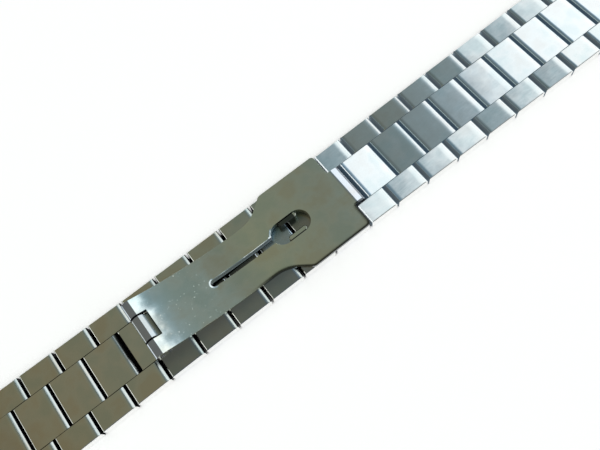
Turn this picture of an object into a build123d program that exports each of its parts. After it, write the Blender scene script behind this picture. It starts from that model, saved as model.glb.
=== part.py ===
from build123d import *

import os
from math import asin, cos, degrees, radians, sin, sqrt

# Watch bracelet with three rows of flat links and a closed folding clasp.
# It lies straight with its inner side up: X runs along it, Y across it, the show side is at Z = 0.
# A place along the bracelet is counted in links from the left end piece, and lengths are millimetres.

# Links on each side of the clasp, and rigid links that cover the clasp
left_link_count = 4
cover_link_count = 6
right_link_count = 10

# Places of the two pins of a link, and the step between the rows, as shares of a link
hinge_share = 0.25
fixed_share = 0.75
stagger_share = 0.5

# Links, whose right ends slope down on the inner side
pitch = 6.75
clasp_width = 16.0
centre_row_share = 0.494
thickness = 2.6
link_gap = 0.42
row_gap = 0.08
slope_length = 0.5
slope_drop = 0.28
left_break = 0.18
show_break = 0.3
show_edge_break = 0.5
edge_break = 0.12

# Pins, which have flat sides and end inside the outer links
pin_side_count = 8
pin_radius = 0.5
pin_cover = 1.2
press_clearance = 0.01
running_clearance = 0.04

# Cover links, which are lower in the centre row to make room for the middle blade
blade_room = 0.13
cover_setback = 0.2
pocket_room = 0.23
hinge_block_half = 2.55
hinge_block_drop = 0.1

# Clasp plate
plate_gap = 0.05
plate_thickness = 0.65
plate_proud = 0.1
plate_overhang = 0.68
curl_radius = 60.0
bend_place_share = 7.5
barrel_place_share = 4.21
barrel_radius = 1.15
barrel_spread = 0.15
neck_place_share = 7.45
neck_step = 2.8
scallop_radius = 6.5
scallop_angle = 37
scallop_tip_radius = 1.2
wide_corner_radius = 0.6
tongue_corner_radius = 0.4
tongue_inset = 0.15
nose_reach = 1.22
nose_radius = 1.5
first_pin_offset = 2.0

# Keyhole through the plate and the middle blade
slot_start_share = 6.05
slot_width = 1.3
hole_radius = 2.1
hole_places_share = (8.24, 8.74)

# Middle blade
blade_gap = 0.12
blade_thickness = 0.7
blade_inset = 0.2
blade_shoulder_share = 4.85
blade_corner_break = 0.6
strap_step = 1.472
knuckle_gap = 0.07
notch_place_share = 4.5
arm_clearance = 0.1
arm_place_share = 9.42
pivot_place_share = 9.75
eye_radius = 0.75
pivot_pin_radius = 0.42
barrel_pin_radius = 0.45
barrel_pin_recess = 0.1

# Catch, two ears that stand in the hole
ear_places_share = (8.27, 8.82)
ear_width = 0.85
ear_clearance = 0.1
ear_drop = 0.08
ear_corner_break = 0.3
ear_top_break = 0.12

# End pieces and their spring bars
lug_width = 18.0
lug_play = 0.05
end_spread = 0.5
case_radius = 19.0
end_length = 6.2
bar_from_tip = 3.6
bar_hole_radius = 0.85
tube_radius = 0.78
stem_radius = 0.5
stem_depth = 3.4
tip_travel = 0.9
flange_radius = 0.7
flange_thickness = 0.3
flange_stop_gap = 0.1
tip_radius = 0.4
tip_reach = 0.9

# One overrun for every cut that goes right through
overrun = 1.0

# Places in the bracelet, counted in links
cover_start = left_link_count
cover_end = cover_start + cover_link_count
chain_end = cover_end + right_link_count
middle_place = (chain_end + stagger_share) / 2

# What each link adds to the width, so that the last right link ends just inside its end piece
taper = (lug_width - end_spread - clasp_width) / right_link_count


def along(place):
    return (place - middle_place) * pitch


def half_width(x):
    # Half width of the bracelet, which widens from the clasp to both ends
    place = x / pitch + middle_place
    return (clasp_width + taper * max(0, cover_start - place, place - cover_end)) / 2


def centre_half(number):
    return centre_row_share * half_width(along(number + stagger_share * 2))


def inner_half(number):
    # Inner side of an outer link, clear of both centre links beside it
    return max(centre_half(number - 1), centre_half(number)) + row_gap


def outer_span(number):
    return along(number) + link_gap / 2, along(number + 1) - link_gap / 2


def centre_span(number):
    return outer_span(number + stagger_share)


def pin_half(number):
    # Half length of a unit's pins, which leaves the outer faces of its links closed
    return half_width(along(number + stagger_share)) - pin_cover


# Heights and places worked out from the sizes above
pin_height = thickness / 2
plate_under = thickness + plate_gap
plate_top = plate_under + plate_thickness
blade_top = plate_under - blade_gap
cover_floor = blade_top - blade_thickness - blade_room
cover_pin_height = cover_floor / 2
plate_half = clasp_width / 2 + plate_proud
neck_half = clasp_width / 2 - neck_step
barrel_half = neck_half + barrel_spread
pivot = (along(pivot_place_share), blade_top - eye_radius)
bend_x = along(bend_place_share)
curl_angle = degrees(asin((bend_x - along(barrel_place_share)) / (curl_radius + barrel_radius)))
plate_edge = along(cover_end) + plate_overhang
first_pin = (along(cover_end) + first_pin_offset, pin_height)
nose_start = along(cover_end) + link_gap / 2
nose_end = first_pin[0] + nose_reach
tongue_half = centre_half(cover_end) - tongue_inset
blade_half = centre_half(cover_start) - blade_inset
strap_half = blade_half - strap_step
notch_half = strap_half + knuckle_gap
arm_inner_half = hinge_block_half + arm_clearance
lug_half = lug_width / 2 - lug_play
tube_half = lug_half - flange_thickness - tip_travel - flange_stop_gap


def curl_point(radius, angle):
    # Point on the curled part of the clasp, at a radius about the curl's centre above the bend
    centre_height = plate_top + curl_radius
    return bend_x - radius * sin(radians(angle)), centre_height - radius * cos(radians(angle))


barrel = curl_point(curl_radius + barrel_radius, curl_angle)


def write(part, name):
    part.label = name
    export_step(part, f"parts/{name}.step")


def round_section(place, radius):
    # Disc in the side view, which bores that turn on a pin are cut with
    with BuildSketch(Plane.XZ) as section:
        with Locations(place):
            Circle(radius)
    return section.sketch


def pin_section(places, radius):
    # Flat-sided sections in the side view, for pins and the holes that hold them
    with BuildSketch(Plane.XZ) as section:
        with Locations(*places):
            RegularPolygon(radius, pin_side_count)
    return section.sketch


def cross_bar(left, right, bottom, top):
    # Rectangle in the side view
    with BuildSketch(Plane.XZ) as bar:
        with Locations(((left + right) / 2, (bottom + top) / 2)):
            Rectangle(right - left, top - bottom)
    return bar.sketch


def side_view(left, right, top):
    # Side view of a link, with the slope at its right end
    with BuildSketch(Plane.XZ) as view:
        with BuildLine():
            Polyline(
                (left + show_break, 0),
                (right - show_break, 0),
                (right, show_break),
                (right, top - slope_drop),
                (right - slope_length, top),
                (left + left_break, top),
                (left, top - left_break),
                (left, show_break),
                close=True,
            )
        make_face()
    return view.sketch


def outer_link(left, right, inner):
    # One outer link on the +Y side, with its outer face along the taper
    with BuildPart() as link:
        with BuildSketch(Plane.XY):
            with BuildLine():
                Polyline(
                    (left, inner),
                    (right, inner),
                    (right, half_width(right)),
                    (left, half_width(left)),
                    close=True,
                )
            make_face()
        extrude(amount=thickness)
        long_edges = link.edges().group_by(Axis.Z)[-1].sort_by(Axis.Y)
        chamfer((long_edges[0], long_edges[-1]), edge_break)
        show_edges = link.edges().group_by(Axis.Z)[0].sort_by(Axis.Y)
        chamfer(show_edges[-1], show_edge_break)
        extrude(side_view(left, right, thickness), amount=lug_width, both=True, mode=Mode.INTERSECT)
    return link.part


def centre_link(left, right, half, top):
    # One centre link, or one of the lower links of the cover
    with BuildPart() as link:
        extrude(cross_bar(left, right, 0, top), amount=half, both=True)
        long_edges = link.edges().group_by(Axis.Z)[-1].sort_by(Axis.Y)
        chamfer((long_edges[0], long_edges[-1]), edge_break)
        extrude(side_view(left, right, top), amount=lug_width, both=True, mode=Mode.INTERSECT)
    return link.part


def write_outer_links(name, left, right, number, pin_places):
    # The two outer links of a unit, whose blind holes hold the ends of both of its pins
    with BuildPart() as pair:
        add(outer_link(left, right, inner_half(number)))
        pin_holes = pin_section(pin_places, pin_radius + press_clearance)
        extrude(pin_holes, amount=pin_half(number) + press_clearance, both=True, mode=Mode.SUBTRACT)
        mirror(about=Plane.XZ)
    write(pair.part, name)


def write_centre_link(name, number):
    # Its left pin is pressed in, and the next unit's pin turns in its right hole
    left, right = centre_span(number)
    half = centre_half(number)
    fixed_place = (along(number + fixed_share), pin_height)
    hinge_place = (along(number + 1 + hinge_share), pin_height)
    with BuildPart() as link:
        add(centre_link(left, right, half, thickness))
        fixed_hole = pin_section([fixed_place], pin_radius + press_clearance)
        extrude(fixed_hole, amount=half + overrun, both=True, mode=Mode.SUBTRACT)
        hinge_hole = round_section(hinge_place, pin_radius + running_clearance)
        extrude(hinge_hole, amount=half + overrun, both=True, mode=Mode.SUBTRACT)
    write(link.part, name)


def write_pins(name, half, pin_places):
    with BuildPart() as pins:
        extrude(pin_section(pin_places, pin_radius), amount=half, both=True)
    write(pins.part, name)


def write_unit(suffix, number):
    # One moving unit: two outer links, a centre link half a step on, and two pins
    left, right = outer_span(number)
    hinge_place = (along(number + hinge_share), pin_height)
    fixed_place = (along(number + fixed_share), pin_height)
    if number == cover_end:
        left = plate_edge + link_gap
        hinge_place = first_pin
    write_outer_links(f"outer_links_{suffix}", left, right, number, [hinge_place, fixed_place])
    write_centre_link(f"centre_link_{suffix}", number)
    write_pins(f"link_pins_{suffix}", pin_half(number), [hinge_place, fixed_place])


def write_cover_outer_links():
    # Outer links of the rigid cover, with blind holes for the cover's pins
    spans = [outer_span(number) for number in range(cover_start, cover_end)]
    spans[-1] = (spans[-1][0], plate_edge - cover_setback)
    inner = inner_half(cover_start + 1)
    links = [outer_link(left, right, inner) for left, right in spans]
    hole_depth = pin_half(cover_start) + press_clearance
    with BuildPart() as outer_links:
        add(links)
        pin_holes = pin_section([cover_hinge_place] + cover_pin_places, pin_radius + press_clearance)
        extrude(pin_holes, amount=hole_depth, both=True, mode=Mode.SUBTRACT)
        pivot_hole = pin_section([pivot], pivot_pin_radius + press_clearance)
        extrude(pivot_hole, amount=hole_depth, both=True, mode=Mode.SUBTRACT)
        mirror(about=Plane.XZ)
    write(outer_links.part, "cover_outer_links")


def write_cover_centre_links():
    # Lower centre links of the cover, and the block that carries the blade's pivot at its right end
    half = centre_half(cover_start)
    spans = [centre_span(number) for number in range(cover_start, cover_end - 1)]
    links = [centre_link(left, right, half, cover_floor) for left, right in spans]
    block_start = centre_span(cover_end - 1)[0]
    block_end = along(cover_end) - link_gap / 2
    pocket_floor = pivot[1] - eye_radius - pocket_room
    pocket_width = half - hinge_block_half + overrun
    with BuildPart() as block:
        extrude(side_view(block_start, block_end, thickness - hinge_block_drop), amount=half, both=True)
        with BuildSketch(Plane.XY.offset(pocket_floor)):
            with Locations(((block_start + block_end) / 2, hinge_block_half + pocket_width / 2)):
                Rectangle(block_end - block_start + overrun, pocket_width)
            mirror(about=Plane.XZ)
        extrude(amount=thickness, mode=Mode.SUBTRACT)
        pivot_hole = pin_section([pivot], pivot_pin_radius + press_clearance)
        extrude(pivot_hole, amount=half, both=True, mode=Mode.SUBTRACT)
    with BuildPart() as centre_links:
        add(links)
        inner_holes = pin_section(cover_pin_places, pin_radius + press_clearance)
        extrude(inner_holes, amount=half + overrun, both=True, mode=Mode.SUBTRACT)
        add(block.part)
    write(centre_links.part, "cover_centre_links")


def write_cover_pins():
    # The hinge pin of the first left unit, the inner pins of the cover and the blade's pivot pin
    with BuildPart() as pins:
        pin_sections = pin_section([cover_hinge_place] + cover_pin_places, pin_radius)
        extrude(pin_sections, amount=pin_half(cover_start), both=True)
        extrude(pin_section([pivot], pivot_pin_radius), amount=pin_half(cover_start), both=True)
    write(pins.part, "cover_pins")


def write_clasp_catch():
    # Two ears that stand on the cover and reach up into the hole
    left, right = (along(place) for place in ear_places_share)
    ear_middle = hole_radius - ear_clearance - ear_width / 2
    with BuildPart() as catch:
        with BuildSketch(Plane.XY.offset(cover_floor)) as foot:
            with Locations(((left + right) / 2, ear_middle)):
                Rectangle(right - left, ear_width)
            chamfer(foot.vertices(), ear_corner_break)
        extrude(amount=plate_top - ear_drop - cover_floor)
        chamfer(catch.edges().group_by(Axis.Z)[-1], ear_top_break)
        mirror(about=Plane.XZ)
    write(catch.part, "clasp_catch")


def curled_strip(inner_radius, strip_thickness, right):
    # Side view of a strip that is flat on the right and curls up to the barrel on the left
    outer_radius = inner_radius + strip_thickness
    with BuildSketch(Plane.XZ) as strip:
        with BuildLine():
            top = ThreePointArc(
                curl_point(inner_radius, 0),
                curl_point(inner_radius, curl_angle / 2),
                curl_point(inner_radius, curl_angle),
            )
            under = ThreePointArc(
                curl_point(outer_radius, 0),
                curl_point(outer_radius, curl_angle / 2),
                curl_point(outer_radius, curl_angle),
            )
            Line(top @ 1, under @ 1)
            Polyline(top @ 0, (right, (top @ 0).Y), (right, (under @ 0).Y), under @ 0)
        make_face()
    return strip.sketch


def keyhole():
    # Slot with a round end that opens into a long round hole
    hole_left, hole_right = (along(place) for place in hole_places_share)
    slot_left = along(slot_start_share) + slot_width / 2
    with BuildSketch(Plane.XY) as opening:
        with Locations((hole_left, 0), (hole_right, 0)):
            Circle(hole_radius)
        with Locations(((hole_left + hole_right) / 2, 0)):
            Rectangle(hole_right - hole_left, hole_radius * 2)
        with Locations((slot_left, 0)):
            Circle(slot_width / 2)
        with Locations(((slot_left + hole_left) / 2, 0)):
            Rectangle(hole_left - slot_left, slot_width)
    return opening.sketch


def plate_outline():
    # Plan of the plate: narrow at the barrel, scalloped out to the full width, with a centre tongue
    left = along(barrel_place_share) - barrel_radius
    neck_x = along(neck_place_share)
    bend = radians(scallop_angle)
    scallop_x = neck_x + scallop_radius * sin(bend)
    scallop_y = neck_half + scallop_radius * (1 - cos(bend))
    scallop_middle = (
        neck_x + scallop_radius * sin(bend / 2),
        neck_half + scallop_radius * (1 - cos(bend / 2)),
    )
    shoulder_x = scallop_x + (plate_half - scallop_y) * cos(bend) / sin(bend)
    tongue_x = nose_end - nose_radius
    with BuildSketch(Plane.XY) as outline:
        with BuildLine():
            Polyline((neck_x, neck_half), (left, barrel_half), (left, 0), (tongue_x, 0), (tongue_x, tongue_half))
            scallop = ThreePointArc((neck_x, neck_half), scallop_middle, (scallop_x, scallop_y))
            Polyline(
                scallop @ 1,
                (shoulder_x, plate_half),
                (plate_edge, plate_half),
                (plate_edge, tongue_half),
                (tongue_x, tongue_half),
            )
        make_face()
        corners = outline.vertices()
        fillet(corners.sort_by_distance((shoulder_x, plate_half))[0], scallop_tip_radius)
        fillet(outline.vertices().sort_by_distance((plate_edge, plate_half))[0], wide_corner_radius)
        fillet(outline.vertices().sort_by_distance((plate_edge, tongue_half))[0], tongue_corner_radius)
        mirror(about=Plane.XZ)
    return outline.sketch


def barrel_notch():
    # Window in the plate for the blade's knuckle
    left = along(barrel_place_share) - barrel_radius - overrun
    right = along(notch_place_share)
    with BuildSketch(Plane.XY) as notch:
        with Locations(((left + right) / 2, 0)):
            Rectangle(right - left, notch_half * 2)
    return notch.sketch


def write_clasp_plate():
    # Inner plate of the clasp, with two knuckles at the left and the first hinge's nose at the right
    outline = plate_outline()
    opening = keyhole()
    notch = barrel_notch()
    with BuildSketch(Plane.XZ) as nose:
        add(cross_bar(nose_start, nose_end, 0, plate_top))
        chamfer(nose.vertices().group_by(Axis.Y)[0], show_break)
        fillet(nose.vertices().group_by(Axis.Y)[-1].sort_by(Axis.X)[-1], nose_radius)
    with BuildPart() as plate:
        extrude(curled_strip(curl_radius, plate_thickness, nose_end), amount=plate_half, both=True)
        extrude(outline, amount=curl_radius, mode=Mode.INTERSECT)
        extrude(nose.sketch, amount=tongue_half, both=True)
        extrude(round_section(barrel, barrel_radius), amount=barrel_half, both=True)
        extrude(notch, amount=curl_radius, mode=Mode.SUBTRACT)
        extrude(opening, amount=curl_radius, mode=Mode.SUBTRACT)
        barrel_hole = pin_section([barrel], barrel_pin_radius + press_clearance)
        extrude(barrel_hole, amount=lug_width, both=True, mode=Mode.SUBTRACT)
        nose_hole = round_section(first_pin, pin_radius + running_clearance)
        extrude(nose_hole, amount=lug_width, both=True, mode=Mode.SUBTRACT)
    write(plate.part, "clasp_plate")


def write_middle_blade():
    # Blade between cover and plate: a knuckle at the left, two arms with eyes on the pivot at the right
    opening = keyhole()
    shoulder = along(blade_shoulder_share)
    arm_x = along(arm_place_share)
    left = along(barrel_place_share)
    right = pivot[0] + eye_radius
    with BuildSketch(Plane.XY) as outline:
        with BuildLine():
            Polyline(
                (left, 0),
                (left, strap_half),
                (shoulder, strap_half),
                (shoulder, blade_half),
                (right, blade_half),
                (right, arm_inner_half),
                (arm_x, arm_inner_half),
                (arm_x, 0),
                close=True,
            )
        make_face()
        for corner in ((shoulder, strap_half), (shoulder, blade_half), (arm_x, arm_inner_half)):
            chamfer(outline.vertices().sort_by_distance(corner)[0], blade_corner_break)
        mirror(about=Plane.XZ)
    blade_curl = curl_radius + plate_thickness + blade_gap
    with BuildPart() as blade:
        extrude(curled_strip(blade_curl, blade_thickness, pivot[0]), amount=blade_half, both=True)
        extrude(round_section(pivot, eye_radius), amount=blade_half, both=True)
        extrude(outline.sketch, amount=curl_radius, mode=Mode.INTERSECT)
        extrude(round_section(barrel, barrel_radius), amount=strap_half, both=True)
        extrude(opening, amount=curl_radius, mode=Mode.SUBTRACT)
        barrel_hole = round_section(barrel, barrel_pin_radius + running_clearance)
        extrude(barrel_hole, amount=lug_width, both=True, mode=Mode.SUBTRACT)
        pivot_hole = round_section(pivot, pivot_pin_radius + running_clearance)
        extrude(pivot_hole, amount=lug_width, both=True, mode=Mode.SUBTRACT)
    write(blade.part, "middle_blade")


def write_barrel_pin():
    # Hinge pin of the plate, its ends just inside the knuckles
    with BuildPart() as pin:
        extrude(pin_section([barrel], barrel_pin_radius), amount=barrel_half - barrel_pin_recess, both=True)
    write(pin.part, "barrel_pin")


def end_block(near, far):
    # Block between the last link at near and the case at far, where it is hollowed to the case's circle
    outward = 1 if far > near else -1
    circle_x = far + outward * sqrt(case_radius**2 - lug_half**2)
    with BuildPart() as block:
        with BuildSketch(Plane.XY):
            with BuildLine():
                Polyline(
                    (far, -lug_half),
                    (near, -half_width(near)),
                    (near, half_width(near)),
                    (far, lug_half),
                )
                ThreePointArc((far, -lug_half), (circle_x - outward * case_radius, 0), (far, lug_half))
            make_face()
        extrude(amount=thickness)
        for side in (block.faces().sort_by(Axis.Y)[0], block.faces().sort_by(Axis.Y)[-1]):
            chamfer(side.edges().sort_by(Axis.Z)[0], show_edge_break)
        near_breaks = side_view(min(near, far) - case_radius, near, thickness)
        if outward > 0:
            near_breaks = side_view(near, max(near, far) + case_radius, thickness)
        extrude(near_breaks, amount=lug_width, both=True, mode=Mode.INTERSECT)
    return block.part


def write_end_link_a():
    # Left end piece, whose tongue turns on the hinge pin of the last left unit
    near = along(0) - link_gap / 2
    far = near - end_length
    block = end_block(near, far)
    half = centre_half(-1)
    tongue_end = centre_span(0)[0] - link_gap
    hinge_place = (along(hinge_share), pin_height)
    with BuildPart() as piece:
        add(block)
        extrude(side_view(near - thickness, tongue_end, thickness), amount=half, both=True)
        hinge_hole = round_section(hinge_place, pin_radius + running_clearance)
        extrude(hinge_hole, amount=half + overrun, both=True, mode=Mode.SUBTRACT)
        bar_hole = pin_section([(far + bar_from_tip, pin_height)], bar_hole_radius)
        extrude(bar_hole, amount=lug_width, both=True, mode=Mode.SUBTRACT)
    write(piece.part, "end_link_a")
    write_spring_bar("a", far + bar_from_tip)


def write_end_link_b():
    # Right end piece, whose two cheeks hold the pin that the last centre link turns on
    near = along(chain_end) + link_gap / 2
    body_start = centre_span(chain_end - 1)[1] + link_gap
    far = body_start + end_length
    block = end_block(near, far)
    half = centre_half(chain_end - 1) + row_gap
    hinge_x = along(chain_end + hinge_share)
    with BuildPart() as piece:
        add(block)
        with BuildSketch(Plane.XY):
            with Locations((body_start - pitch / 2, 0)):
                Rectangle(pitch, half * 2)
        extrude(amount=thickness, mode=Mode.SUBTRACT)
        notch_edges = piece.edges().filter_by(Axis.Y).filter_by_position(Axis.X, body_start, body_start)
        chamfer(notch_edges.sort_by(Axis.Z)[-1], left_break)
        chamfer(notch_edges.sort_by(Axis.Z)[0], show_break)
        pin_hole = pin_section([(hinge_x, pin_height)], pin_radius + press_clearance)
        extrude(pin_hole, amount=pin_half(chain_end) + press_clearance, both=True, mode=Mode.SUBTRACT)
        bar_hole = pin_section([(far - bar_from_tip, pin_height)], bar_hole_radius)
        extrude(bar_hole, amount=lug_width, both=True, mode=Mode.SUBTRACT)
    write(piece.part, "end_link_b")
    write_pins("end_pin_b", pin_half(chain_end), [(hinge_x, pin_height)])
    write_spring_bar("b", far - bar_from_tip)


def write_spring_bar(end, x):
    # Tube through the end piece, and a sprung tip in each end of it
    place = (x, pin_height)
    with BuildPart() as tube:
        extrude(pin_section([place], tube_radius), amount=tube_half, both=True)
        tube_bore = pin_section([place], stem_radius + running_clearance)
        extrude(tube_bore, amount=tube_half + overrun, both=True, mode=Mode.SUBTRACT)
    write(tube.part, f"bar_tube_{end}")
    with BuildPart() as upper_tip:
        with BuildSketch(Plane.XZ.offset(stem_depth - tube_half)):
            with Locations(place):
                RegularPolygon(stem_radius, pin_side_count)
        extrude(amount=tube_half - stem_depth - lug_half)
        with BuildSketch(Plane.XZ.offset(flange_thickness - lug_half)):
            with Locations(place):
                RegularPolygon(flange_radius, pin_side_count)
        extrude(amount=-flange_thickness)
        with BuildSketch(Plane.XZ.offset(-lug_half)):
            with Locations(place):
                Circle(tip_radius)
        extrude(amount=-tip_reach)
    write(upper_tip.part, f"bar_tip_{end}_upper")
    with BuildPart() as lower_tip:
        mirror(upper_tip.part, about=Plane.XZ)
    write(lower_tip.part, f"bar_tip_{end}_lower")


cover_hinge_place = (along(cover_start + hinge_share), pin_height)
cover_pin_places = [
    (along(number + share), cover_pin_height)
    for number in range(cover_start, cover_end)
    for share in (hinge_share, fixed_share)
][1:-1]

os.makedirs("parts", exist_ok=True)
for step in range(left_link_count):
    write_unit(f"a{step + 1}", cover_start - 1 - step)
for step in range(right_link_count):
    write_unit(f"b{step + 1:02d}", cover_end + step)
write_cover_outer_links()
write_cover_centre_links()
write_cover_pins()
write_clasp_catch()
write_clasp_plate()
write_middle_blade()
write_barrel_pin()
write_end_link_a()
write_end_link_b()
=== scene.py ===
import bpy
from mathutils import Matrix, Vector

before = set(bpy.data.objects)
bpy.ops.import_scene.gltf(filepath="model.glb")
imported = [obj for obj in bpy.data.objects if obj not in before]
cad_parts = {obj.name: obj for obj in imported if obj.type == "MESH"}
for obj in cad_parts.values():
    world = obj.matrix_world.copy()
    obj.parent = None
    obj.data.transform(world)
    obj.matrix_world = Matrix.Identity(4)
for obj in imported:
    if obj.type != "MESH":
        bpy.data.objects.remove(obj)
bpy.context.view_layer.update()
scene = bpy.context.scene
print("frame loaded:", len(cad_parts), "nodes")

# the camera stands low on the left of the bracelet, as in the photograph
camera = {
    "place": (-0.02554, -0.03700, 0.10599),
    "turn": (-0.3716, 0.0214, 0.6662),      # rotation vector from the bracelet's axes to the camera's
    "lens": 38.94,
    "sensor": 36.0,
    "clip": (0.002, 10.0),
}


def setCamera():
    turn = Vector(camera["turn"])
    toCamera = Matrix.Rotation(turn.length, 3, turn.normalized())
    data = bpy.data.cameras.new("camera")
    data.lens = camera["lens"]
    data.sensor_width = camera["sensor"]
    data.clip_start, data.clip_end = camera["clip"]
    data.dof.use_dof = False
    seat = bpy.data.objects.new("camera", data)
    seat.matrix_world = Matrix.Translation(camera["place"]) @ toCamera.transposed().to_4x4()
    scene.collection.objects.link(seat)
    scene.camera = seat


setCamera()
scene.view_settings.view_transform = "Standard"
print("camera set")


def link(tree, source, target):
    tree.links.new(source, target)


def rampOf(tree, steps, value):
    # a colour ramp over a value, with its steps as (place, colour)
    ramp = tree.nodes.new("ShaderNodeValToRGB")
    stops = ramp.color_ramp.elements
    while len(stops) < len(steps):
        stops.new(0.5)
    for stop, (place, colour) in zip(stops, steps):
        stop.position = place
        stop.color = (*colour, 1.0)
    link(tree, value, ramp.inputs[0])
    return ramp.outputs[0]


def mathNode(tree, kind, first, second=0.0, third=None):
    node = tree.nodes.new("ShaderNodeMath")
    node.operation = kind
    for slot, value in enumerate((first, second, third)):
        if value is None:
            continue
        if isinstance(value, (int, float)):
            node.inputs[slot].default_value = value
        else:
            link(tree, value, node.inputs[slot])
    return node.outputs[0]


def vectorMath(tree, kind, first, second):
    node = tree.nodes.new("ShaderNodeVectorMath")
    node.operation = kind
    for slot, value in ((0, first), (1, second)):
        if isinstance(value, tuple):
            node.inputs[slot].default_value = value
        else:
            link(tree, value, node.inputs[slot])
    return node


def between(tree, value, low, high):
    # 0 at low and 1 at high, with a soft step between them; low may be the larger of the two
    node = tree.nodes.new("ShaderNodeMapRange")
    node.interpolation_type = "SMOOTHSTEP"
    node.inputs["From Min"].default_value = low
    node.inputs["From Max"].default_value = high
    link(tree, value, node.inputs["Value"])
    return node.outputs[0]


def mixColour(tree, amount, first, second, blend="MIX"):
    # a mix node's colour sockets are its seventh and eighth, and its colour output is the third
    node = tree.nodes.new("ShaderNodeMix")
    node.data_type = "RGBA"
    node.blend_type = blend
    link(tree, amount, node.inputs[0])
    for slot, value in ((6, first), (7, second)):
        if isinstance(value, tuple):
            node.inputs[slot].default_value = (*value, 1.0)
        else:
            link(tree, value, node.inputs[slot])
    return node.outputs[2]


# the room is dark and olive on the left and grey overhead, with a bright window far to the right
room = {
    "upper": [
        (0.00, (0.170, 0.170, 0.165)),
        (0.12, (0.150, 0.146, 0.130)),
        (0.24, (0.165, 0.155, 0.115)),
        (0.34, (0.205, 0.192, 0.120)),
        (0.44, (0.205, 0.208, 0.145)),
        (0.52, (0.200, 0.216, 0.160)),
        (0.60, (0.168, 0.190, 0.165)),
        (0.66, (0.210, 0.268, 0.275)),
        (0.69, (0.240, 0.318, 0.342)),
        (0.707, (0.305, 0.400, 0.440)),
        (0.722, (0.400, 0.500, 0.550)),
        (0.737, (0.660, 0.780, 0.840)),
        (0.755, (1.050, 1.160, 1.190)),
        (0.84, (1.300, 1.380, 1.400)),
        (1.00, (1.300, 1.350, 1.370)),
    ],
    "low": [(0.00, (0.10, 0.10, 0.10)), (0.50, (0.20, 0.21, 0.21)), (1.00, (0.42, 0.44, 0.45))],
    "rise": (0.34, 0.52),       # height of a direction where the low part gives way to the upper one
    "strength": 2.0,            # a ramp holds at most 1, so it keeps the colours divided by this
    "background": (1.0, 1.0, 1.0),
}


def setRoom():
    world = bpy.data.worlds.new("room")
    scene.world = world
    world.use_nodes = True
    tree = world.node_tree
    tree.nodes.clear()
    out = tree.nodes.new("ShaderNodeOutputWorld")
    where = tree.nodes.new("ShaderNodeTexCoord")
    axes = tree.nodes.new("ShaderNodeSeparateXYZ")
    link(tree, where.outputs["Generated"], axes.inputs[0])
    across = mathNode(tree, "MULTIPLY_ADD", axes.outputs["X"], 0.5, 0.5)
    height = between(tree, axes.outputs["Z"], *room["rise"])
    parts = {}
    for part in ("low", "upper"):
        weak = [(place, tuple(value / room["strength"] for value in colour)) for place, colour in room[part]]
        parts[part] = rampOf(tree, weak, across)
    seen = tree.nodes.new("ShaderNodeLightPath")
    studio = tree.nodes.new("ShaderNodeBackground")
    studio.inputs["Strength"].default_value = room["strength"]
    link(tree, mixColour(tree, height, parts["low"], parts["upper"]), studio.inputs["Color"])
    white = tree.nodes.new("ShaderNodeBackground")
    white.inputs["Color"].default_value = (*room["background"], 1.0)
    mix = tree.nodes.new("ShaderNodeMixShader")
    link(tree, seen.outputs["Is Camera Ray"], mix.inputs[0])
    link(tree, studio.outputs[0], mix.inputs[1])
    link(tree, white.outputs[0], mix.inputs[2])
    link(tree, mix.outputs[0], out.inputs["Surface"])


floor = {
    "half": 3.0,
    "colour": (0.92, 0.92, 0.92),
    "rough": 0.8,
    "specular": 0.1,
    "glow": 0.64,
    "shadeReach": 0.020,        # how far the bracelet takes light from the floor, m
    "samples": 12,
    "openness": (0.15, 0.42),   # share of open air from no glow to full glow
    "farSide": (0.005, 0.006),  # Y at which the darker shade along the far side begins, m
    "farShade": 0.32,
}


def setFloor():
    half = floor["half"]
    corners = [(-half, -half, 0), (half, -half, 0), (half, half, 0), (-half, half, 0)]
    mesh = bpy.data.meshes.new("floor")
    mesh.from_pydata(corners, [], [(0, 1, 2, 3)])
    ground = bpy.data.objects.new("floor", mesh)
    scene.collection.objects.link(ground)
    surface = bpy.data.materials.new("paleFloor")
    surface.use_nodes = True
    tree = surface.node_tree
    shader = tree.nodes["Principled BSDF"]
    shader.inputs["Roughness"].default_value = floor["rough"]
    shader.inputs["Specular IOR Level"].default_value = floor["specular"]
    shader.inputs["Emission Color"].default_value = (1, 1, 1, 1)
    seen = tree.nodes.new("ShaderNodeLightPath")
    lit = mathNode(tree, "MAXIMUM", seen.outputs["Is Camera Ray"], seen.outputs["Is Glossy Ray"])
    lit = mathNode(tree, "MAXIMUM", lit, seen.outputs["Is Transmission Ray"])
    # painted shadow: no glow and a colour going to black where the bracelet covers the floor, and in the
    # narrow shade along its far side
    where = tree.nodes.new("ShaderNodeTexCoord")
    axes = tree.nodes.new("ShaderNodeSeparateXYZ")
    link(tree, where.outputs["Object"], axes.inputs[0])
    farSide = between(tree, axes.outputs["Y"], *floor["farSide"])
    cover = tree.nodes.new("ShaderNodeAmbientOcclusion")
    cover.samples = floor["samples"]
    cover.inputs["Distance"].default_value = floor["shadeReach"]
    openness = mathNode(tree, "MULTIPLY_ADD", farSide, -floor["farShade"], cover.outputs["AO"])
    bare = between(tree, openness, *floor["openness"])
    glow = mathNode(tree, "MULTIPLY", mathNode(tree, "MULTIPLY", lit, bare), floor["glow"])
    link(tree, mixColour(tree, bare, (0.0, 0.0, 0.0), floor["colour"]), shader.inputs["Base Color"])
    link(tree, glow, shader.inputs["Emission Strength"])
    mesh.materials.append(surface)


lamp = {"watts": 0.14, "side": 0.5, "place": (0.30, 0.05, 0.45)}


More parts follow.
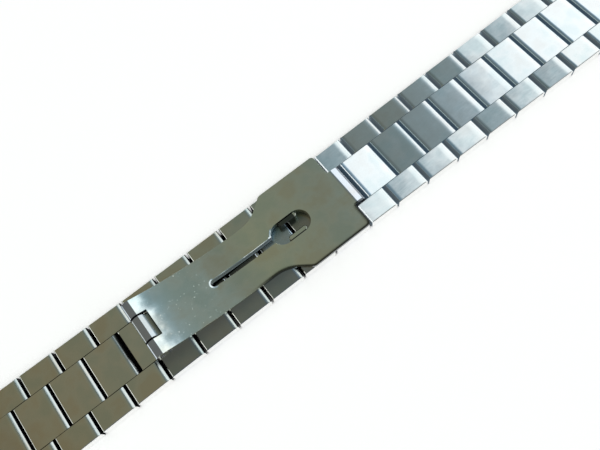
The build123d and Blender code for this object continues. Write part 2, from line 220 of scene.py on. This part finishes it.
def setLamp():
    data = bpy.data.lights.new("softbox", "AREA")
    data.shape = "RECTANGLE"
    data.size = lamp["side"]
    data.size_y = lamp["side"]
    data.energy = lamp["watts"]
    softbox = bpy.data.objects.new("softbox", data)
    softbox.visible_glossy = False          # the metal shows the room's window in its place
    place = Vector(lamp["place"])
    turn = (-place).to_track_quat("-Z", "Y").to_matrix().to_4x4()
    softbox.matrix_world = Matrix.Translation(place) @ turn
    scene.collection.objects.link(softbox)


setRoom()
setFloor()
setLamp()
print("room, floor and lamp set")

# sizes of the bracelet in millimetres, as its solids have them
pitch = 6.75
linkGap = 0.42
middlePlace = 10.25                     # the middle of the bracelet, counted in links
millimetres = 1000.0                    # in a metre


def at(number):
    # X of a place along the bracelet, counted in links
    return (number - middlePlace) * pitch


leftEnd = linkGap / 2                   # a link's left end, from the middle of the gap there
rightEnd = pitch - linkGap / 2          # its right end, from that same middle
rowEdgeY = 5.0                          # faces nearer to the middle than this lie between the rows
barrelX = at(4.21)                      # axis of the clasp's barrel
notchX = barrelX + 1.96                 # right side of the window for the blade's knuckle
knuckleY = 2.315                        # middle of the gaps beside that knuckle
slotHalf = 0.65                         # half the width of the plate's slot
hole = {"left": at(8.24), "right": at(8.74), "radius": 2.1, "slotLeft": at(6.05) + slotHalf}


# the steel is smooth with fine grain, and its finish differs a little from piece to piece
finishes = {
    "outer": {"colour": (0.78, 0.78, 0.77), "rough": 0.09, "grain": 0.05, "wave": 0.03, "stroke": 0.022},
    "centre": {"colour": (0.80, 0.80, 0.80), "rough": 0.08, "grain": 0.05, "wave": 0.03, "stroke": 0.022},
    "plate": {"colour": (0.95, 0.96, 0.86), "rough": 0.10, "grain": 0.06, "wave": 0.04, "stroke": 0.03},
    "cover": {"colour": (0.76, 0.77, 0.75), "rough": 0.12, "grain": 0.06, "wave": 0.04, "stroke": 0.03},
    # the pieces under the plate are a darker, rougher copy of the same steel; the darker colour is painted
    # shade
    "hidden": {"colour": (0.62, 0.62, 0.60), "rough": 0.20, "grain": 0.10, "wave": 0.06, "stroke": 0.05},
    "pin": {"colour": (0.82, 0.82, 0.82), "rough": 0.12, "grain": 0.04, "wave": 0.0, "stroke": 0.0},
}
steel = {
    "grain": {"scale": 1.0, "detail": 3.0},
    "grainStretch": (700, 8000, 4000),  # fine strokes along the bracelet
    "grainHeight": 0.0000012,
    "clouds": {"scale": 240.0, "detail": 3.0},
    "cloudSteps": (0.36, 0.50, 0.64),   # warm, plain and cool clouds of the colour
    "warm": (0.98, 0.92, 0.86),
    "plain": (1.0, 1.0, 1.0),
    "cool": (0.90, 0.95, 0.96),
    "specks": {"scale": 3500.0, "detail": 2.0},
    "speckSteps": (0.70, 0.76),
    "speckRough": 0.12,
    "uneven": {"scale": 420.0, "detail": 4.0},
    "noiseMiddle": 0.5,
    "edge": 0.00005,                    # radius that rounds every edge in the shading, m
    "edgeSamples": 4,
    "flatTop": (0.95, 0.99),            # rise of the normal from side to top, on pieces that aren't links
    # painted shade in the gaps: a dull colour near black
    "gap": (0.012, 0.013, 0.016),
    "gapRough": 0.6,
}


class Steel:
    # one steel while it is made: its coordinates, and its colour, roughness and tilt so far
    def __init__(self, name, finish, lean=(0.0, 0.0), warm=steel["warm"]):
        look = finishes[finish]
        self.surface = bpy.data.materials.new(name)
        self.surface.use_nodes = True
        self.tree = self.surface.node_tree
        self.shader = self.tree.nodes["Principled BSDF"]
        where = self.tree.nodes.new("ShaderNodeTexCoord")
        self.place = where.outputs["Object"]
        self.facing = where.outputs["Normal"]
        axes = self.split(self.place)
        self.alongX = self.calc("MULTIPLY", axes[0], millimetres)
        self.acrossY = self.calc("MULTIPLY", axes[1], millimetres)
        self.fromMiddle = self.calc("ABSOLUTE", self.acrossY)
        self.normalX, self.normalY, self.normalZ = self.split(self.facing)
        self.endWise = self.calc("ABSOLUTE", self.normalX)
        self.sideWise = self.calc("ABSOLUTE", self.normalY)

        streaks = self.tree.nodes.new("ShaderNodeMapping")
        streaks.inputs["Scale"].default_value = steel["grainStretch"]
        link(self.tree, self.place, streaks.inputs[0])
        self.grain = self.noise("grain", streaks.outputs[0])
        # specks and fine scratches are a little rougher than the metal round them
        self.speck = self.soft(self.noise("specks", self.place), steel["speckSteps"])
        self.rough = self.calc("MULTIPLY_ADD", self.grain, look["grain"], look["rough"] - look["grain"] / 2)
        self.rough = self.calc("MULTIPLY_ADD", self.speck, steel["speckRough"], self.rough)
        shifts = (warm, steel["plain"], steel["cool"])
        tones = [tuple(value * part for value, part in zip(look["colour"], shift)) for shift in shifts]
        clouds = self.noise("clouds", self.place)
        self.colour = rampOf(self.tree, list(zip(steel["cloudSteps"], tones)), clouds)

        # lean tips the upper (+Y) and the lower (-Y) piece towards the window
        upper = self.above(self.acrossY, 0.0)
        self.slope = self.calc("MULTIPLY_ADD", upper, lean[0] - lean[1], lean[1])
        # the metal isn't quite flat, which shows as soft clouds and strokes across it
        self.wave = self.calc("SUBTRACT", self.noise("uneven", self.place), steel["noiseMiddle"])
        self.slope = self.calc("MULTIPLY_ADD", self.wave, look["wave"], self.slope)
        stroke = self.calc("SUBTRACT", self.grain, steel["noiseMiddle"])
        self.slope = self.calc("MULTIPLY_ADD", stroke, look["stroke"], self.slope)
        self.dark = None
        self.highlightLine = None

    def split(self, vector):
        node = self.tree.nodes.new("ShaderNodeSeparateXYZ")
        link(self.tree, vector, node.inputs[0])
        return node.outputs

    def noise(self, kind, vector):
        node = self.tree.nodes.new("ShaderNodeTexNoise")
        node.inputs["Scale"].default_value = steel[kind]["scale"]
        node.inputs["Detail"].default_value = steel[kind]["detail"]
        link(self.tree, vector, node.inputs["Vector"])
        return node.outputs["Fac"]

    def calc(self, kind, first, second=0.0, third=None):
        return mathNode(self.tree, kind, first, second, third)

    def soft(self, value, limits):
        return between(self.tree, value, *limits)

    def above(self, value, limit):
        return self.calc("GREATER_THAN", value, limit)

    def below(self, value, limit):
        return self.calc("LESS_THAN", value, limit)

    def times(self, *masks):
        total = masks[0]
        for mask in masks[1:]:
            total = self.calc("MULTIPLY", total, mask)
        return total

    def either(self, first, second):
        return self.calc("MAXIMUM", first, second)

    def without(self, mask, cut):
        return self.calc("SUBTRACT", mask, self.calc("MINIMUM", mask, cut))

    def invert(self, mask):
        return self.calc("SUBTRACT", 1.0, mask)

    def paint(self, mask, colour):
        self.colour = mixColour(self.tree, mask, self.colour, colour)

    def tint(self, mask, colour):
        self.colour = mixColour(self.tree, mask, self.colour, colour, "MULTIPLY")

    # gathers the places that get painted shade in the gap colour
    def darken(self, mask):
        self.dark = mask if self.dark is None else self.either(self.dark, mask)

    def lay(self, top, sideLean=None):
        # the slope tips the normal of the top along X, and a side lean tips it along Y
        lean = self.tree.nodes.new("ShaderNodeCombineXYZ")
        link(self.tree, self.times(self.slope, top), lean.inputs["X"])
        if sideLean:
            link(self.tree, sideLean, lean.inputs["Y"])
        self.top = top
        self.tilt = lean.outputs[0]

    def aim(self, mask, target):
        # turns the normal towards a target
        node = self.tree.nodes.new("ShaderNodeVectorMath")
        node.operation = "SCALE"
        link(self.tree, vectorMath(self.tree, "SUBTRACT", target, self.facing).outputs[0], node.inputs[0])
        link(self.tree, mask, node.inputs["Scale"])
        self.tilt = vectorMath(self.tree, "ADD", self.tilt, node.outputs[0]).outputs[0]

    def tip(self, amount):
        # tips the normal along X
        node = self.tree.nodes.new("ShaderNodeCombineXYZ")
        link(self.tree, amount, node.inputs["X"])
        self.tilt = vectorMath(self.tree, "ADD", self.tilt, node.outputs[0]).outputs[0]

    def finish(self, gapShadeColour=steel["gap"], highlightLineColour=None):
        # painted shade in the gap colour
        if self.dark:
            self.paint(self.dark, gapShadeColour)
            self.rough = self.either(self.rough, self.calc("MULTIPLY", self.dark, steel["gapRough"]))
        # painted highlight line along the broken left edges
        if self.highlightLine:
            self.paint(self.highlightLine, highlightLineColour)
        link(self.tree, self.colour, self.shader.inputs["Base Color"])
        link(self.tree, self.rough, self.shader.inputs["Roughness"])
        self.shader.inputs["Metallic"].default_value = 1.0
        turned = self.tree.nodes.new("ShaderNodeVectorTransform")
        turned.vector_type = "VECTOR"
        turned.convert_from = "OBJECT"
        turned.convert_to = "WORLD"
        link(self.tree, self.tilt, turned.inputs[0])
        rounded = self.tree.nodes.new("ShaderNodeBevel")
        rounded.samples = steel["edgeSamples"]
        rounded.inputs["Radius"].default_value = steel["edge"]
        tipped = vectorMath(self.tree, "ADD", rounded.outputs[0], turned.outputs[0]).outputs[0]
        tipped = vectorMath(self.tree, "NORMALIZE", tipped, (0.0, 0.0, 0.0)).outputs[0]
        bump = self.tree.nodes.new("ShaderNodeBump")
        bump.inputs["Strength"].default_value = 1.0
        bump.inputs["Distance"].default_value = 1.0
        link(self.tree, self.calc("MULTIPLY", self.grain, steel["grainHeight"]), bump.inputs["Height"])
        link(self.tree, tipped, bump.inputs["Normal"])
        link(self.tree, bump.outputs["Normal"], self.shader.inputs["Normal"])
        return self.surface


def dress(node, surface):
    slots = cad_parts[node].data.materials
    slots.clear()
    slots.append(surface)


# how the links of each run end: bend is how much of the right end bends down and lean how far its
# normal tips, line is the colour of the painted highlight line at the left end and lineAim its normal
runs = {
    "left": {"bend": 1.30, "lean": 0.74, "line": (0.78, 0.76, 0.68), "lineAim": (0.47, 0.0, 0.88)},
    "cover": {"bend": 1.20, "lean": 0.56, "line": (0.78, 0.76, 0.68), "lineAim": (0.36, 0.0, 0.93)},
    "inner": {"bend": 0.40, "lean": 0.75, "line": (0.78, 0.76, 0.68), "lineAim": (0.36, 0.0, 0.93)},
    "right": {"bend": 1.60, "lean": 0.18, "line": (0.24, 0.30, 0.31), "lineAim": (0.36, 0.0, 0.93)},
}
linkLook = {
    "top": (0.80, 0.86),                # rise of the normal from side to top
    "gapFace": (0.90, 0.97),            # share of the normal that faces a gap
    "broken": (0.60, 0.66, 0.80),       # the same for a broken edge, from its start to its end
    "band": (leftEnd + 0.25, leftEnd + 0.95),
    "bandShadeTint": (0.76, 0.90, 1.10),
    "dull": (rightEnd - 0.9, rightEnd - 0.3),
    "dullRough": 0.16,
    "dullTint": (0.80, 0.83, 0.81),
    "outwards": (rightEnd - 0.9, rightEnd - 0.4),
    "outwardLean": -0.20,
    "lowerRowY": -4.0,
    "lineStart": leftEnd + 0.08,
    "edgeStrip": leftEnd + 0.30,
    "lastBit": rightEnd - 0.13,         # the very end lies in the shade of the gap
    "sideY": 6.5,
    "upperSideReflection": (0.50, 0.50, 0.49),
    "lowerSideReflection": (0.93, 0.93, 0.92),
    "firstLine": (0.90, 0.92, 0.92),    # painted highlight line of the first link right of the clasp
    "rightGapShade": (0.28, 0.36, 0.42),     # painted shade of the gaps of the right run, lighter as more light reaches them
    "rightWarm": (0.97, 0.95, 0.94),
    # painted light: a glow in those gaps, by the row's phase
    "rightGlow": {0.0: (0.046, 0.056, 0.063), 0.5: (0.026, 0.042, 0.058)},
}
endPiece = {
    "tongueY": 4.15,                    # its tongue fills the middle row as far as this
    "tonguePhase": 0.5,
    "bareX": at(0) - 1.2,               # left of its hinge the end piece is bare
}
hingeShade = {                          # the clasp's barrel shades the link before it
    "alongEnd": (rightEnd - 0.75, rightEnd - 0.20),
    "across": (-2.2, -0.8),
    "tint": (0.04, 0.045, 0.04),
}


def bendRightEnd(s, run, isEnd):
    # tips the slope down towards the right end, and returns the very end, which the gap shades
    length, endLean = runs[run]["bend"], runs[run]["lean"]
    bend = s.soft(s.fromStart, (rightEnd - length, rightEnd + length))
    lastBit = s.above(s.fromStart, linkLook["lastBit"])
    if isEnd:
        jointed = s.above(s.alongX, endPiece["bareX"])
        bend = s.times(bend, jointed)
        lastBit = s.times(lastBit, jointed)
    # the soft step is half way up at the very end, so its lean is doubled
    bend = s.calc("MULTIPLY", bend, 2.0 * endLean)
    s.slope = s.calc("SUBTRACT", s.calc("ADD", s.slope, bend), s.normalX)
    return lastBit


def roughenAndShadeRightEnd(s):
    # that edge is rougher, worn dull, and painted shade darkens its colour; both soften the window in it
    dull = s.soft(s.fromStart, linkLook["dull"])
    s.rough = s.calc("MULTIPLY_ADD", dull, linkLook["dullRough"], s.rough)
    s.tint(dull, linkLook["dullTint"])


def darkenGaps(s, top, lastBit):
    # faces in the gaps are dull and get painted shade, a colour near black
    betweenRows = s.times(s.soft(s.sideWise, linkLook["gapFace"]), s.below(s.fromMiddle, rowEdgeY))
    s.darken(s.soft(s.endWise, linkLook["gapFace"]))
    s.darken(betweenRows)
    s.darken(s.times(lastBit, top))


def paintLeftEdgeLight(s, top, inShade):
    # the broken left edge gets a painted highlight line that catches the window; where it lies in shade it
    # gets painted shade instead
    start, full, stop = linkLook["broken"]
    broken = s.times(
        s.soft(s.endWise, (start, full)), s.below(s.endWise, stop),
        s.below(s.normalX, 0.0), s.above(s.normalZ, 0.0),
    )
    if inShade:
        s.darken(broken)
        s.darken(s.times(top, s.below(s.fromStart, linkLook["edgeStrip"])))
    else:
        s.highlightLine = s.times(broken, s.above(s.fromStart, linkLook["lineStart"]))
        s.darken(s.calc("SUBTRACT", broken, s.highlightLine))


def rowEdges(s):
    # the broken edges between the rows, which read as part of the top
    start, full, stop = linkLook["broken"]
    return s.times(
        s.soft(s.sideWise, (start, full)), s.below(s.sideWise, stop),
        s.above(s.normalZ, 0.0), s.below(s.fromMiddle, rowEdgeY),
    )


def startLink(
    name, finish, run, phase, lean=(0.0, 0.0), band=0.0, isEnd=False, brightLine=False, hinge=False
):
    # phase is the row's shift along the bracelet in links, and band darkens the left edge
    onRight = run == "right"
    wornEnd = run in ("left", "cover")
    s = Steel(name, finish, lean, linkLook["rightWarm"] if onRight else steel["warm"])
    share = s.calc("MULTIPLY_ADD", s.alongX, 1 / pitch, middlePlace + phase)
    if isEnd:
        onTongue = s.below(s.fromMiddle, endPiece["tongueY"])
        share = s.calc("MULTIPLY_ADD", onTongue, endPiece["tonguePhase"], share)
    s.fromStart = s.calc("MULTIPLY", s.calc("FRACT", share), pitch)
    top = s.soft(s.normalZ, linkLook["top"])
    if band:
        shade = s.invert(s.soft(s.fromStart, linkLook["band"]))
        s.slope = s.calc("MULTIPLY_ADD", shade, -band, s.slope)
        # painted shade: a cool tint darkens the top near the left edge
        s.tint(s.times(shade, top), linkLook["bandShadeTint"])
    lastBit = bendRightEnd(s, run, isEnd)
    if wornEnd:
        roughenAndShadeRightEnd(s)
    if hinge:
        shaded = s.times(s.soft(s.fromStart, hingeShade["alongEnd"]), s.soft(s.acrossY, hingeShade["across"]))
        s.tint(shaded, hingeShade["tint"])
    darkenGaps(s, top, lastBit)
    paintLeftEdgeLight(s, top, onRight and phase == 0.0 and not brightLine)
    rowBreak = rowEdges(s)
    top = s.either(top, rowBreak)
    sideLean = None
    if wornEnd:
        # the lower links' right ends lean outwards a little, so that they don't mirror the clasp
        lower = s.below(s.acrossY, linkLook["lowerRowY"])
        sideLean = s.times(s.soft(s.fromStart, linkLook["outwards"]), lower, top, linkLook["outwardLean"])
    s.lay(top, sideLean)
    if s.highlightLine:
        s.aim(s.highlightLine, runs[run]["lineAim"])
    s.aim(rowBreak, (0.0, 0.0, 1.0))
    return s


def paintSideReflections(s):
    # the outer sides of the links get a painted reflection of the pale floor, darker on the upper side
    side = s.times(s.soft(s.sideWise, linkLook["gapFace"]), s.above(s.fromMiddle, linkLook["sideY"]))
    lowerSideReflection = s.times(side, s.below(s.acrossY, 0.0))
    s.paint(s.calc("SUBTRACT", side, lowerSideReflection), linkLook["upperSideReflection"])
    s.paint(lowerSideReflection, linkLook["lowerSideReflection"])


def linkSteel(name, finish, run, phase, brightLine=False, **options):
    s = startLink(name, finish, run, phase, brightLine=brightLine, **options)
    paintSideReflections(s)
    line = linkLook["firstLine"] if brightLine else runs[run]["line"]
    if run != "right":
        return s.finish(highlightLineColour=line)
    # painted light: the right run's gap faces glow a little within their painted shade
    s.shader.inputs["Emission Color"].default_value = (*linkLook["rightGlow"][phase], 1.0)
    link(s.tree, s.dark, s.shader.inputs["Emission Strength"])
    return s.finish(linkLook["rightGapShade"], line)


links = {
    # suffix: lean of the upper outer, the lower outer and the centre piece, strength of the dark left band
    "a4": (0.00, 0.00, 0.00, 0.00),
    "a3": (0.00, 0.00, 0.00, 0.00),
    "a2": (0.00, 0.00, 0.00, 0.00),
    "a1": (0.00, 0.00, 0.00, 0.00),
    "b01": (0.107, 0.147, 0.175, 0.12),
    "b02": (0.004, 0.098, 0.000, 0.08),
    "b03": (-0.038, 0.072, -0.004, 0.10),
    "b04": (-0.010, 0.056, 0.000, 0.12),
    "b05": (-0.043, -0.012, 0.012, 0.14),
    "b06": (0.007, -0.009, 0.010, 0.16),
    "b07": (-0.037, -0.047, 0.010, 0.18),
    "b08": (-0.038, 0.000, 0.010, 0.20),
    "b09": (-0.030, 0.000, 0.000, 0.20),
    "b10": (0.000, 0.000, 0.000, 0.20),
}
for suffix, (upperLean, lowerLean, centreLean, band) in links.items():
    run = "left" if suffix.startswith("a") else "right"
    first = suffix == "b01"             # it stands free of the plate's end, in full light
    outerSteel = linkSteel(
        f"outerSteel_{suffix}", "outer", run, 0.0, first, lean=(upperLean, lowerLean), band=band
    )
    centreSteel = linkSteel(
        f"centreSteel_{suffix}", "centre", run, 0.5, first,
        lean=(centreLean, centreLean), band=band, hinge=suffix == "a2",
    )
    dress(f"outer_links_{suffix}", outerSteel)
    dress(f"centre_link_{suffix}", centreSteel)
dress("end_link_a", linkSteel("endSteelA", "outer", "left", 0.0, isEnd=True))
print("links dressed:", len(links))

# the clasp's cover: its upper row is bright, and its lower row stands in the shade of the plate
cover = {
    "coveredX": at(8.7),                # right of here the lower row lies under the plate
    "coveredY": -6.0,
    "coveredColour": (0.93, 0.93, 0.92),
    "litEnd": (rightEnd - 0.60, rightEnd - 0.40),
    "shadeTint": (0.62, 0.64, 0.74),
    "near": (4.6, 7.4),                 # from the plate's edge outwards, mm from the middle
    "nearShadeTint": (0.70, 0.70, 0.76),
    "facing": (0.0, -0.34, 0.94),       # it leans outwards, so that it doesn't mirror the plate
}


def coverSteel():
    s = startLink("coverSteel", "cover", "cover", 0.0)
    # one gap is under the plate: its painted gap shade is taken off and painted light put there, so its end
    # shows nothing dark beside the plate
    covered = s.times(s.above(s.alongX, cover["coveredX"]), s.below(s.acrossY, cover["coveredY"]))
    s.dark = s.without(s.dark, covered)
    s.paint(covered, cover["coveredColour"])
    # painted shade on the lower row, deepest near the plate's edge
    near = s.invert(s.soft(s.calc("MULTIPLY", s.acrossY, -1.0), cover["near"]))
    lower = s.times(s.below(s.acrossY, 0.0), s.invert(s.soft(s.fromStart, cover["litEnd"])))
    s.tint(lower, cover["shadeTint"])
    s.tint(s.times(near, lower), cover["nearShadeTint"])
    s.aim(s.times(lower, s.top), cover["facing"])
    paintSideReflections(s)
    return s.finish(highlightLineColour=runs["cover"]["line"])


# the cover's centre links, seen through the slot and the hole, with painted shade and painted reflections on
# them
inner = {
    "far": (-0.4, 1.9),                 # Y over which the plate's upper edge shades them
    "farTint": (0.30, 0.40, 0.42),
    "rightPart": (at(8.5), at(8.5) + 0.05),
    "rightTint": (0.70, 0.66, 0.62),
    "leftPart": (at(7.6), at(7.7)),
    "leftReflectionTint": (0.98, 1.10, 1.30),
    "slotEnd": at(7.6),
    "slotTint": (0.42, 0.42, 0.42),
    "bevel": (rightEnd - 0.72, rightEnd - 0.62),
    "bevelAim": (0.32, 0.0, 0.947),
    "bevelHighlight": (0.92, 0.94, 0.92),
}


def innerSteel():
    s = startLink("innerSteel", "hidden", "inner", 0.5)
    s.tint(s.soft(s.acrossY, inner["far"]), inner["farTint"])
    # painted shade on the right part, and a painted cool reflection on the left part
    rightPart = s.soft(s.alongX, inner["rightPart"])
    s.tint(rightPart, inner["rightTint"])
    s.tint(s.times(s.soft(s.alongX, inner["leftPart"]), s.invert(rightPart)), inner["leftReflectionTint"])
    # painted shade under the slot, and a painted highlight on the bevel at each right end
    underSlot = s.below(s.alongX, inner["slotEnd"])
    bevelled = s.soft(s.fromStart, inner["bevel"])
    s.tint(s.times(underSlot, s.invert(bevelled)), inner["slotTint"])
    bevel = s.times(underSlot, bevelled, s.top)
    s.aim(bevel, inner["bevelAim"])
    s.paint(bevel, inner["bevelHighlight"])
    return s.finish(highlightLineColour=runs["inner"]["line"])


dress("cover_outer_links", coverSteel())
dress("cover_centre_links", innerSteel())
print("cover dressed")

# the barrel: the plate's two knuckles, and the blade's knuckle between them
barrel = {
    "slotWall": (0.70, 0.80),           # share of the normal that faces across, on the walls of the slot
    "slotWallY": 0.8,
    "slotWallAim": (0.05, -0.24, 0.97),
    "slotWallHighlight": (0.50, 0.57, 0.70),
    "frontX": barrelX + 0.38,
    "roundSide": 0.5,                   # rounds face across less than this
    "footNormal": -0.70,
    "frontAim": (-0.11, 0.0, 0.99),
    "frontReflection": (0.60, 0.67, 0.96),
    "footAim": (0.36, 0.0, 0.93),
    "footHighlight": (0.74, 0.72, 0.68),
    "seam": (0.12, 0.22),               # half width of the gaps beside the middle knuckle
}


def dressBarrel(s, knuckleHighlight=None):
    # walls of the slot catch the light from above, as a painted highlight
    slotWall = s.times(s.soft(s.sideWise, barrel["slotWall"]), s.below(s.fromMiddle, barrel["slotWallY"]))
    s.aim(slotWall, barrel["slotWallAim"])
    s.paint(slotWall, barrel["slotWallHighlight"])
    # painted highlight: the blade's knuckle is made brighter
    if knuckleHighlight:
        s.tint(s.below(s.alongX, notchX), knuckleHighlight)
    # the knuckles' front gets one even painted reflection, with a painted highlight line at its foot
    rounds = s.times(s.below(s.alongX, barrel["frontX"]), s.below(s.sideWise, barrel["roundSide"]))
    foot = s.times(rounds, s.below(s.normalX, barrel["footNormal"]))
    front = s.calc("SUBTRACT", rounds, foot)
    s.aim(front, barrel["frontAim"])
    s.aim(foot, barrel["footAim"])
    s.paint(front, barrel["frontReflection"])
    s.paint(foot, barrel["footHighlight"])
    # painted shade in the gaps beside the middle knuckle
    offGap = s.calc("ABSOLUTE", s.calc("SUBTRACT", s.fromMiddle, knuckleY))
    s.darken(s.times(s.invert(s.soft(offGap, barrel["seam"])), s.below(s.alongX, notchX)))


# the blade's knuckle gets a painted highlight at first, and painted shade where it dives under the plate
blade = {
    "knuckleHighlightTint": (1.10, 1.20, 1.32),
    "glare": (barrelX + 0.38, barrelX + 0.46),
    "glareAim": (0.38, 0.0, 0.925),
    "flank": (barrelX + 0.85, barrelX + 1.45),
    "flankAim": (0.06, 0.0, 0.998),
    "dive": (barrelX + 0.95, barrelX + 1.90),
    "diveTint": (0.22, 0.26, 0.28),
    "last": (notchX - 0.34, notchX - 0.10),
    "endX": notchX + 1.0,
}


def bladeSteel():
    s = Steel("bladeSteel", "hidden")
    s.lay(s.soft(s.normalZ, steel["flatTop"]))
    dressBarrel(s, blade["knuckleHighlightTint"])
    onKnuckle = s.below(s.alongX, notchX)
    flank = s.times(s.soft(s.alongX, blade["flank"]), onKnuckle)
    s.aim(flank, blade["flankAim"])
    glare = s.times(s.soft(s.alongX, blade["glare"]), onKnuckle)
    s.aim(s.without(glare, flank), blade["glareAim"])
    beforeEnd = s.below(s.alongX, blade["endX"])
    s.tint(s.times(s.soft(s.alongX, blade["dive"]), beforeEnd), blade["diveTint"])
    # painted shade at the right end of the knuckle's window
    s.darken(s.times(s.soft(s.alongX, blade["last"]), beforeEnd))
    return s.finish()


# the plate: flat, with a curl at the barrel and a rolled nose at its right end
plate = {
    "faceUp": 0.8,                      # rise of the normal on the plate's upper face
    "curl": (at(4.37), at(4.92)),
    "curlEnd": (at(5.10), at(6.40)),
    "flatten": -0.062,                  # right of the barrel the curl soon leaves the window's glare
    "spark": 0.42,                      # how far the specks on the curl tip towards the window
    "patches": (at(5.0), at(4.6)),      # the metal near the barrel is less even
    "patchLean": 0.16,
    "barrelTintEnd": (at(4.6), at(5.3)),
    "barrelReflectionTint": (0.94, 0.97, 1.05),
    "nose": (at(10.195), at(10.235)),
    "noseUp": 0.85,
    "noseAim": (0.21, 0.0, 0.978),
    "noseTintStart": (at(10.15), at(10.19)),
    "noseTint": (0.76, 0.77, 0.92),
}


def dressPlateTop(s):
    curl = s.times(
        s.soft(s.alongX, plate["curl"]),
        s.invert(s.soft(s.alongX, plate["curlEnd"])),
        s.above(s.normalZ, plate["faceUp"]),
    )
    spark = s.times(s.speck, curl, plate["spark"])
    patchy = s.times(s.soft(s.alongX, plate["patches"]), s.wave, plate["patchLean"])
    s.tip(s.calc("ADD", s.calc("MULTIPLY_ADD", curl, plate["flatten"], spark), patchy))
    # painted reflection: a cool tint near the barrel
    s.tint(s.invert(s.soft(s.alongX, plate["barrelTintEnd"])), plate["barrelReflectionTint"])
    nose = s.times(
        s.soft(s.alongX, plate["nose"]), s.above(s.normalZ, plate["noseUp"]), s.below(s.fromMiddle, rowEdgeY)
    )
    s.aim(nose, plate["noseAim"])
    # painted shade on the rolled nose, with a cool tint
    s.tint(s.soft(s.alongX, plate["noseTintStart"]), plate["noseTint"])


# the rim of the keyhole is polished round and gets a painted highlight: bright at the left ends, a thin line
# along the upper edge
rim = {
    "wide": (0.16, 0.40),               # mm from the edge over which it fades
    "thin": (0.05, 0.10),
    "thinShare": 0.7,
    "slotEnd": (hole["slotLeft"] - 0.1, hole["slotLeft"] + 0.3),
    "holeStart": hole["left"] - hole["radius"],
    "holeReach": (-0.4, 0.5, 1.2),      # from the hole's left end: its start, and where it fades out
    "aim": (0.29, 0.0, 0.957),
    "glint": 0.9,                       # unevenness that breaks the bright line up
    "colour": (0.76, 0.79, 0.78),
}


def fromOutline(s, startX, endX, radius):
    # distance from the outline of a round-ended slot on the middle line
    awayX = s.calc("SUBTRACT", s.alongX, s.calc("MINIMUM", s.calc("MAXIMUM", s.alongX, startX), endX))
    squares = s.calc("ADD", s.times(awayX, awayX), s.times(s.acrossY, s.acrossY))
    return s.calc("SUBTRACT", s.calc("SQRT", squares), radius)


def dressKeyhole(s):
    fromHole = fromOutline(s, hole["left"], hole["right"], hole["radius"])
    fromSlot = fromOutline(s, hole["slotLeft"], hole["left"], slotHalf)
    fromRim = s.calc("MINIMUM", fromHole, fromSlot)
    wide = s.invert(s.soft(fromRim, rim["wide"]))
    thin = s.invert(s.soft(fromRim, rim["thin"]))
    start = rim["holeStart"]
    reach, fade, fadeEnd = rim["holeReach"]
    upper = s.above(s.acrossY, 0.0)
    atSlotEnd = s.invert(s.soft(s.alongX, rim["slotEnd"]))
    atHoleEnd = s.times(
        upper, s.above(s.alongX, start + reach), s.invert(s.soft(s.alongX, (start + fade, start + fadeEnd)))
    )
    upperSlot = s.times(thin, upper, s.below(s.alongX, start), rim["thinShare"])
    rimHighlight = s.either(s.times(wide, s.either(atSlotEnd, atHoleEnd)), upperSlot)
    rimHighlight = s.times(rimHighlight, s.above(s.normalZ, plate["faceUp"]))
    s.aim(rimHighlight, rim["aim"])
    s.tip(s.times(rimHighlight, s.wave, rim["glint"]))
    s.paint(rimHighlight, rim["colour"])


# the plate's lower edge is rounded and gets a painted dark reflection of the room's dark side, most of all in
# the scallop
lowerEdge = {
    "radius": 0.0010,                   # m
    "samples": 8,
    "turn": (0.001, 0.06),              # how far the rounded normal leaves the flat one
    "acrossY": -3.5,
    "start": (at(6.6), at(7.4)),
    "tint": (0.12, 0.12, 0.12),
    "wall": (-0.70, -0.85),
    "wallReflection": (0.16, 0.17, 0.18),
}


def dressLowerEdge(s):
    rounded = s.tree.nodes.new("ShaderNodeBevel")
    rounded.samples = lowerEdge["samples"]
    rounded.inputs["Radius"].default_value = lowerEdge["radius"]
    flat = s.tree.nodes.new("ShaderNodeNewGeometry").outputs["Normal"]
    level = vectorMath(s.tree, "DOT_PRODUCT", rounded.outputs[0], flat).outputs["Value"]
    region = s.times(s.below(s.acrossY, lowerEdge["acrossY"]), s.soft(s.alongX, lowerEdge["start"]))
    turned = s.soft(s.invert(level), lowerEdge["turn"])
    s.tint(s.times(turned, s.above(s.normalZ, plate["faceUp"]), region), lowerEdge["tint"])
    s.paint(s.times(s.soft(s.normalY, lowerEdge["wall"]), region), lowerEdge["wallReflection"])


def plateSteel():
    s = Steel("plateSteel", "plate")
    s.lay(s.soft(s.normalZ, steel["flatTop"]))
    dressBarrel(s)
    dressPlateTop(s)
    dressKeyhole(s)
    dressLowerEdge(s)
    return s.finish()


# the catch: two ears in the hole, the upper one in painted shade from the hole's edge, the lower one with a
# painted dark line of shade along its side
catch = {
    "shadeTint": (0.13, 0.14, 0.15),
    "under": (-0.5, -0.7),
    "underColour": (0.05, 0.06, 0.06),
}


def catchSteel():
    s = Steel("catchSteel", "plate")
    s.lay(s.soft(s.normalZ, steel["flatTop"]))
    s.tint(s.times(s.above(s.acrossY, 0.0), s.below(s.alongX, hole["right"])), catch["shadeTint"])
    s.paint(s.times(s.soft(s.normalY, catch["under"]), s.below(s.acrossY, 0.0)), catch["underColour"])
    return s.finish()


def plainSteel(name, finish):
    s = Steel(name, finish)
    s.lay(s.soft(s.normalZ, steel["flatTop"]))
    return s.finish()


dress("middle_blade", bladeSteel())
dress("clasp_plate", plateSteel())
dress("clasp_catch", catchSteel())
dress("end_link_b", plainSteel("endSteelB", "outer"))
pinSteel = plainSteel("pinSteel", "pin")
pins = [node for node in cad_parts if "pin" in node or node.startswith("bar_")]
for node in pins:
    dress(node, pinSteel)
print("clasp, ends and", len(pins), "nodes of pins and bars dressed")
